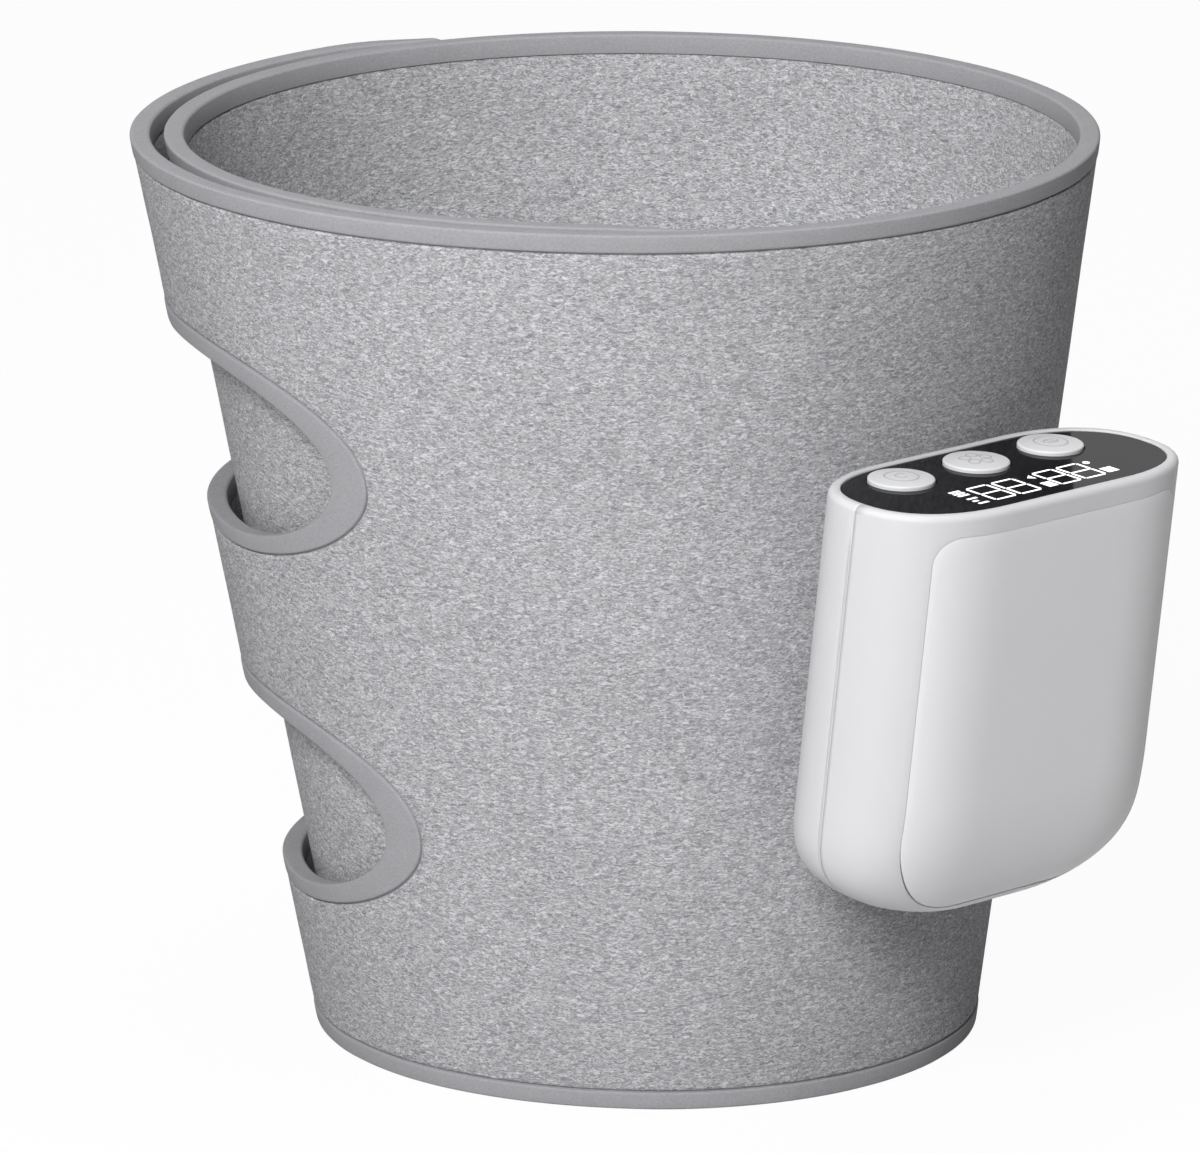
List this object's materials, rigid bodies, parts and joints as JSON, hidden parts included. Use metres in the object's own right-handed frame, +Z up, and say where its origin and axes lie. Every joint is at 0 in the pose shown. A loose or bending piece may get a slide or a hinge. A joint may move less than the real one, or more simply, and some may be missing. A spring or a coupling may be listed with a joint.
{
  "type": "compression therapy pump",
  "caption": "Wearable compression therapy pump: a conical wrap-round leg sleeve in grey felt with hook-and-loop tabs, and a pump unit docked on its front with round buttons and a display.",
  "frame": {"origin": "centre of the sleeve's base ring, on the surface that the sleeve stands on", "axes": "+Z up, -Y towards the front, where the pump is, +X to the right of someone who faces the pump"},
  "size_m": [0.1647, 0.1965, 0.16],
  "materials": {
    "felt": "grey melange felt",
    "binding": "plain grey knitted tape",
    "lining": "smooth grey knit",
    "foam": "laminated foam",
    "film": "welded film, matt",
    "hooks": "moulded hooks",
    "white_plastic": "satin moulded",
    "cover_plastic": "satin moulded",
    "black_gloss": "polished",
    "button_plastic": "satin moulded",
    "display": "moulded display block",
    "board": "solder mask",
    "chip": "moulded",
    "steel": "plated",
    "inner_plastic": "moulded",
    "battery_wrap": "shrink film",
    "rubber": "moulded",
    "hose": "silicone",
    "ribbon": "polyimide film"
  },
  "bodies": {
    "root": {"outer_fabric": "felt", "foam_pad": "foam", "air_bladder": "film", "lining": "lining", "top_binding": "binding", "bottom_binding": "binding", "inner_end_binding": "binding", "notch_binding": "binding", "rear_shell": "white_plastic", "front_shell": "white_plastic", "front_cover": "cover_plastic", "display_panel": "black_gloss", "display_module": "display", "button_board": "board", "tact_switches": "chip", "chassis": "inner_plastic", "battery": "battery_wrap", "main_board": "board", "board_chips": "chip", "buzzer": "chip", "usb_socket": "steel", "ribbon_cable": "ribbon", "motor_can": "steel", "motor_end_cap": "inner_plastic", "pump_head": "inner_plastic", "diaphragm": "rubber", "motor_rings": "rubber", "manifold": "inner_plastic", "pump_hose": "hose", "pressure_sensor": "chip", "sensor_hose": "hose", "valve_body": "steel", "valve_spring": "steel", "dock_plate": "inner_plastic", "air_port": "inner_plastic", "shell_screws": "steel", "chassis_screws": "steel", "dock_screws": "steel"},
    "mode_button": {"mode_button": "button_plastic"},
    "level_button": {"level_button": "button_plastic"},
    "power_button": {"power_button": "button_plastic"},
    "motor_rotor": {"motor_rotor": "steel", "crank": "inner_plastic"},
    "valve_plunger": {"valve_plunger": "steel"},
    "top_tab": {"top_tab": "felt", "top_tab_binding": "binding", "top_hook_pad": "hooks"},
    "middle_tab": {"middle_tab": "felt", "middle_tab_binding": "binding", "middle_hook_pad": "hooks"},
    "bottom_tab": {"bottom_tab": "felt", "bottom_tab_binding": "binding", "bottom_hook_pad": "hooks"}
  },
  "joints": [
    {"name": "mode_button_press", "type": "slide", "parent": "root", "child": "mode_button", "axis": [0, 0.0436, -0.999], "range_m": [0, 0.0005], "stiffness_N_per_m": 1500},
    {"name": "level_button_press", "type": "slide", "parent": "root", "child": "level_button", "axis": [0, 0.0436, -0.999], "range_m": [0, 0.0005], "stiffness_N_per_m": 1500},
    {"name": "power_button_press", "type": "slide", "parent": "root", "child": "power_button", "axis": [0, 0.0436, -0.999], "range_m": [0, 0.0005], "stiffness_N_per_m": 1500},
    {"name": "rotor_spin", "type": "hinge", "parent": "root", "child": "motor_rotor", "pos_m": [-0.00425, -0.08267, 0.0615], "axis": [1, 0, 0], "continuous": true},
    {"name": "valve_slide", "type": "slide", "parent": "root", "child": "valve_plunger", "axis": [0, -0.1338, 0.991], "range_m": [0, 0.0008], "stiffness_N_per_m": 300},
    {"name": "top_tab_peel", "type": "hinge", "parent": "root", "child": "top_tab", "pos_m": [-0.08765, 0.00633, 0.16], "axis": [0, 0, 1], "range_deg": [0, 65]},
    {"name": "middle_tab_peel", "type": "hinge", "parent": "root", "child": "middle_tab", "pos_m": [-0.0768, 0.00474, 0.101], "axis": [0, 0, 1], "range_deg": [0, 65]},
    {"name": "bottom_tab_peel", "type": "hinge", "parent": "root", "child": "bottom_tab", "pos_m": [-0.06495, 0.00301, 0.0365], "axis": [0, 0, 1], "range_deg": [0, 65]}
  ]
}
